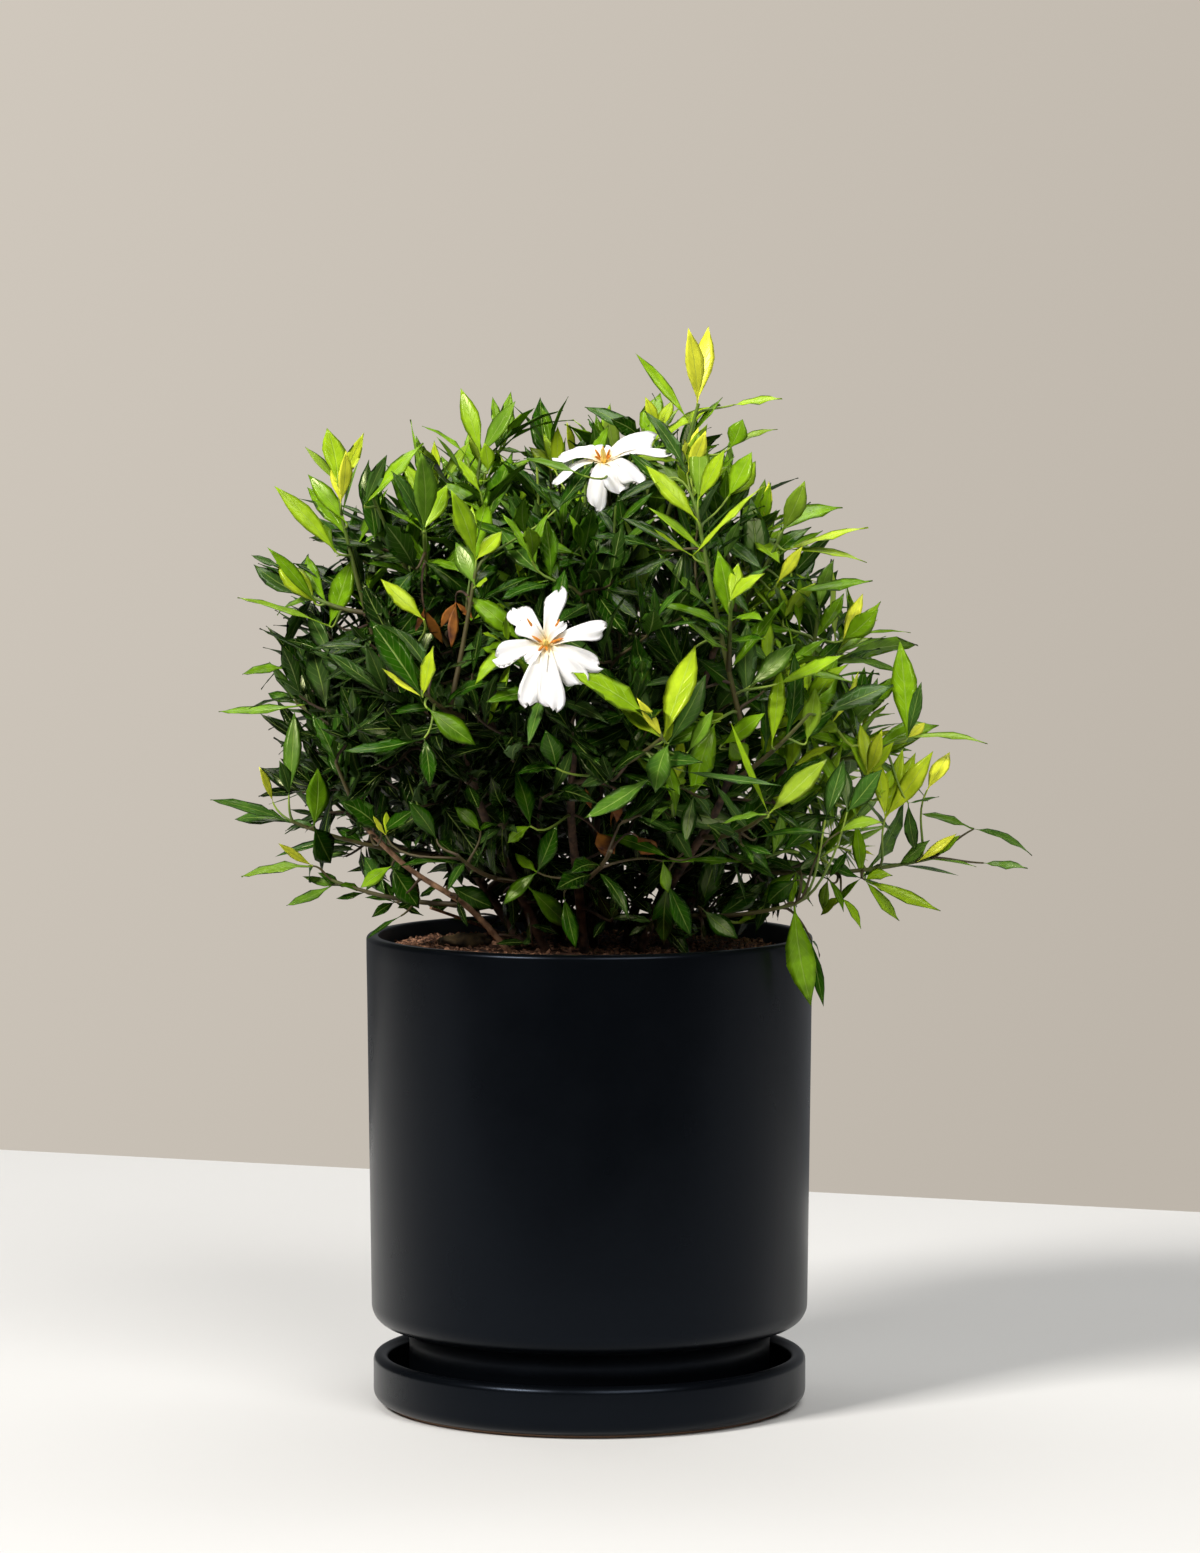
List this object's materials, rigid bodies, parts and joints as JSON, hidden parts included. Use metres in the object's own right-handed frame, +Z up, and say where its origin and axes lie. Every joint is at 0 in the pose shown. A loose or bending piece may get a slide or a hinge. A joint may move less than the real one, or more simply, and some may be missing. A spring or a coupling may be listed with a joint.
{
  "type": "potted gardenia",
  "caption": "Leafy flowering shrub with white blooms in a straight-sided dark glazed pot that stands on a round matching saucer.",
  "frame": {"origin": "centre of the saucer's underside", "axes": "+Z up along the pot's axis, -Y towards the plant's front, +X to its right as seen from the front"},
  "size_m": [0.4417, 0.4242, 0.6081],
  "materials": {
    "glaze": "matte black glaze with a soft sheen",
    "soil": "damp crumbly potting mix",
    "bark": "thin rough bark",
    "leaf": "glossy leaves on green twigs",
    "petal": "waxy cream white",
    "stamen": "dry, dusty",
    "calyx": "satin young growth"
  },
  "bodies": {
    "root": {"saucer": "glaze", "pot": "glaze", "soil": "soil", "stem_left": "bark", "stem_left_branch": "bark", "stem_front_left": "bark", "stem_front": "bark", "stem_front_right": "bark", "stem_right": "bark", "stem_right_centre": "bark", "stem_centre": "bark", "stem_left_centre": "bark", "stem_back_right": "bark", "stem_back": "bark", "stem_back_left": "bark", "front_flower_petals": "petal", "front_flower_calyx": "calyx", "front_flower_stamens": "stamen", "top_flower_petals": "petal", "top_flower_calyx": "calyx", "top_flower_stamens": "stamen", "front_flower_shoot": "leaf", "top_flower_shoot": "leaf", "shoot_crown": "leaf", "shoot_crown_back": "leaf", "shoot_upper_right": "leaf", "shoot_upper_left": "leaf", "shoot_left_crown": "leaf", "shoot_left_top": "leaf", "shoot_left": "leaf", "shoot_left_low": "leaf", "shoot_left_bottom": "leaf", "shoot_left_front": "leaf", "shoot_front_left": "leaf", "shoot_front_low_left": "leaf", "shoot_front_centre": "leaf", "shoot_front_low": "leaf", "shoot_front_right": "leaf", "shoot_right_front": "leaf", "shoot_hanging": "leaf", "shoot_right_top": "leaf", "shoot_right": "leaf", "shoot_right_mid": "leaf", "shoot_right_low": "leaf", "shoot_back_right_low": "leaf", "shoot_back_right": "leaf", "shoot_back_right_top": "leaf", "shoot_back_low": "leaf", "shoot_back": "leaf", "shoot_back_top": "leaf", "shoot_back_left_low": "leaf", "shoot_back_left": "leaf", "shoot_back_left_top": "leaf"}
  },
  "joints": []
}
